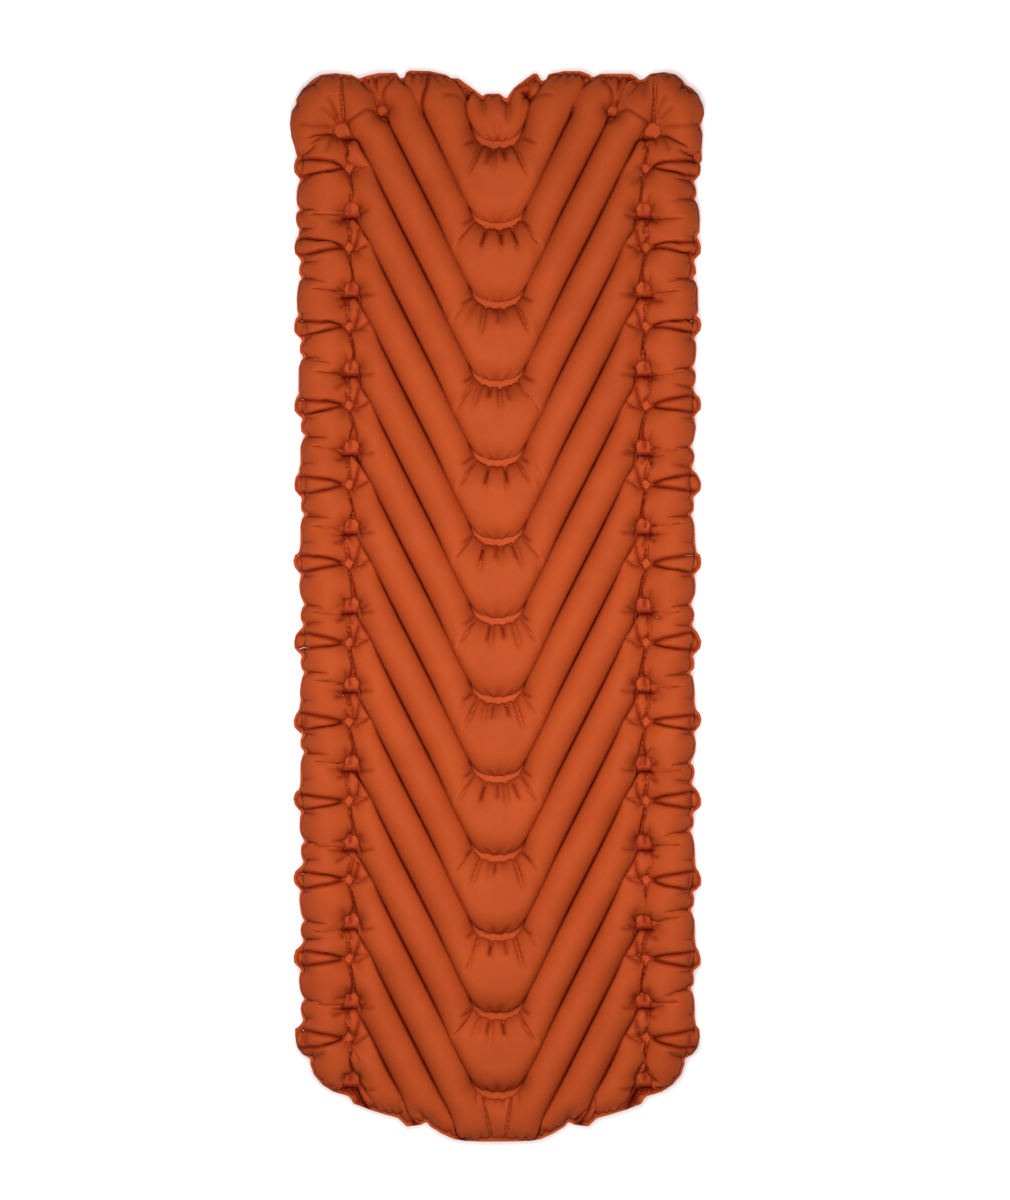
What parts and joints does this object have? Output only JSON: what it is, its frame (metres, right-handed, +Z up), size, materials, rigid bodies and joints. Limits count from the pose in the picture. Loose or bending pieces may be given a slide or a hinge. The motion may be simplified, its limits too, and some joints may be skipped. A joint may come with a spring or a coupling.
{
  "type": "inflatable sleeping pad",
  "caption": "Wide inflatable sleeping pad of two welded fabric sheets, with chevron air tubes, rounded side rails, a notched head end and a flat push-button air valve.",
  "frame": {"origin": "centre of the pad's footprint, on the ground it lies on", "axes": "+Y towards the notched head end, +X across the pad to the side away from the valve, +Z up, through the pad's thickness"},
  "size_m": [0.748, 1.93, 0.076],
  "materials": {
    "orange_fabric": "satin coated weave",
    "dark_film": "satin",
    "black_plastic": "matte",
    "grey_plastic": "satin",
    "pale_silicone": "matte",
    "spring_steel": "drawn wire"
  },
  "bodies": {
    "pad": {"upper_sheet": "orange_fabric", "lower_sheet": "orange_fabric", "valve_flange": "dark_film", "valve_core": "black_plastic", "valve_core_seal": "pale_silicone", "tether_ring": "black_plastic", "button_spring": "spring_steel"},
    "button": {"push_button": "grey_plastic", "flap_disc": "pale_silicone", "flap_backing_plate": "black_plastic", "stem_clip": "spring_steel"},
    "cap": {"valve_cap": "black_plastic", "cap_gasket": "pale_silicone"}
  },
  "joints": [
    {"name": "button_press", "type": "slide", "parent": "pad", "child": "button", "axis": [0.5417, -0.5417, 0.6428], "range_m": [0, 0.0035], "stiffness_N_per_m": 300, "springref_m": -0.004, "deforming": ["button_spring"]},
    {"name": "cap_hinge", "type": "hinge", "parent": "pad", "child": "cap", "pos_m": [-0.34306, 0.93406, 0.03013], "axis": [0.7071, 0.7071, 0], "range_deg": [0, 100]}
  ]
}
